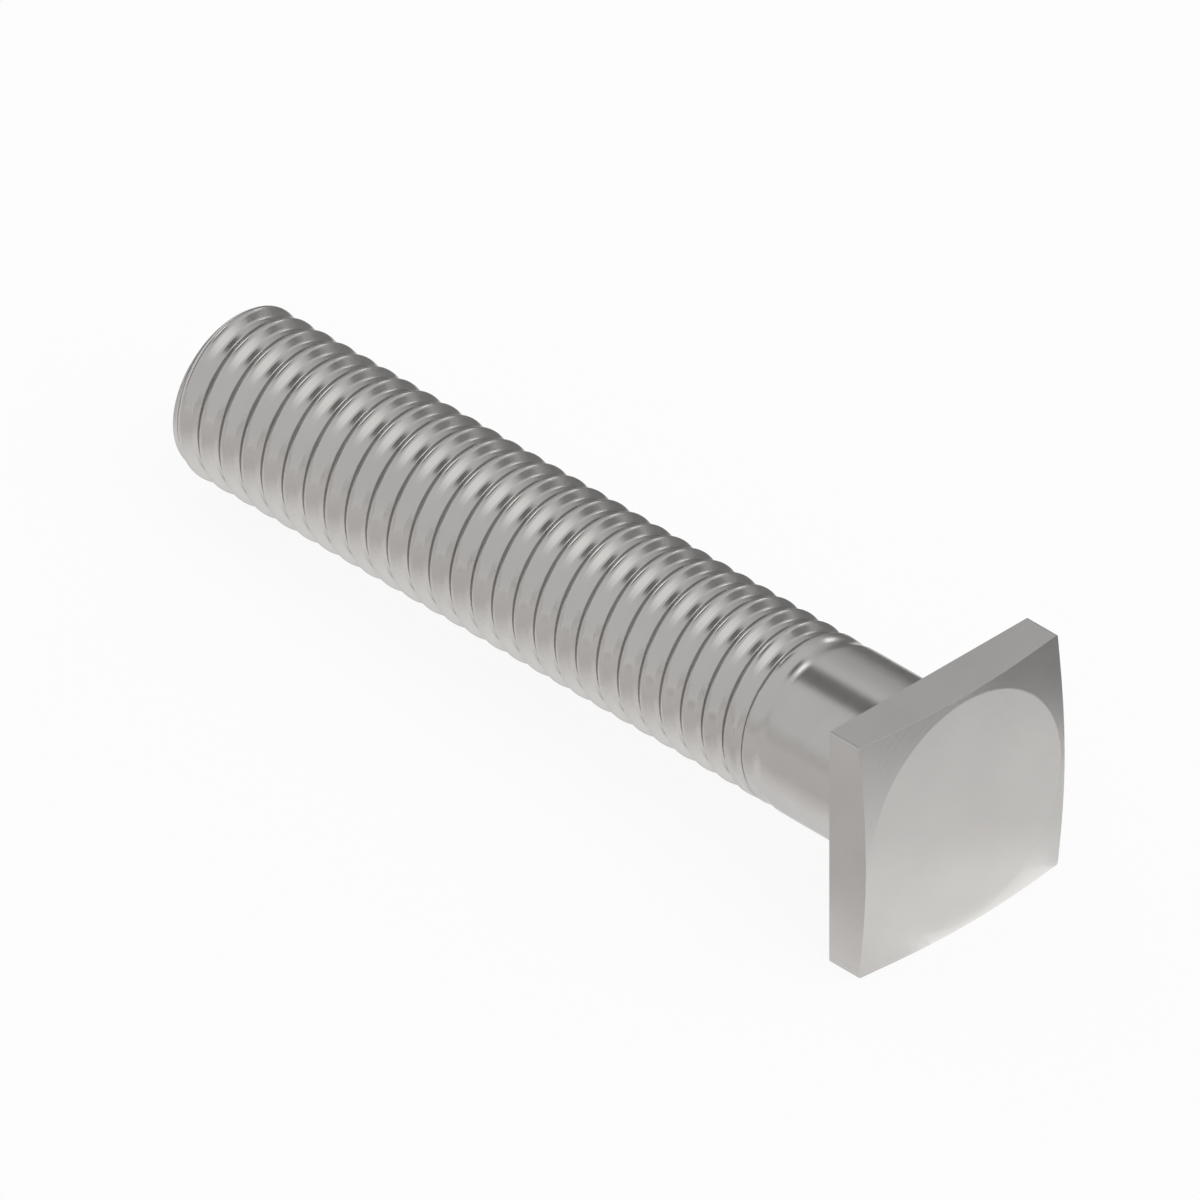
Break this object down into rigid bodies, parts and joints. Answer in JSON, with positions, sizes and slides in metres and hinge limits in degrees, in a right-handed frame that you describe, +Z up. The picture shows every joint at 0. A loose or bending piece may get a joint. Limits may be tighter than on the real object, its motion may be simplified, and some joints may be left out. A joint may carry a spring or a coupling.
{
  "type": "square head bolt",
  "caption": "Square head bolt: a thin chamfered square head on a round shank with a right-hand coarse thread.",
  "frame": {"origin": "on the surface that the bolt lies on, under the middle of its outer box", "axes": "+X along the bolt towards the head, level with the surface; the bolt's own axis rises 2.7 degrees towards the head, because it lies on an edge of the head and the rim of its tip; +Y across two sides of the head, +Z up"},
  "size_m": [0.044, 0.0118, 0.012],
  "materials": {
    "steel": "satin, as formed"
  },
  "bodies": {
    "root": {"square_head_bolt": "steel"}
  },
  "joints": []
}
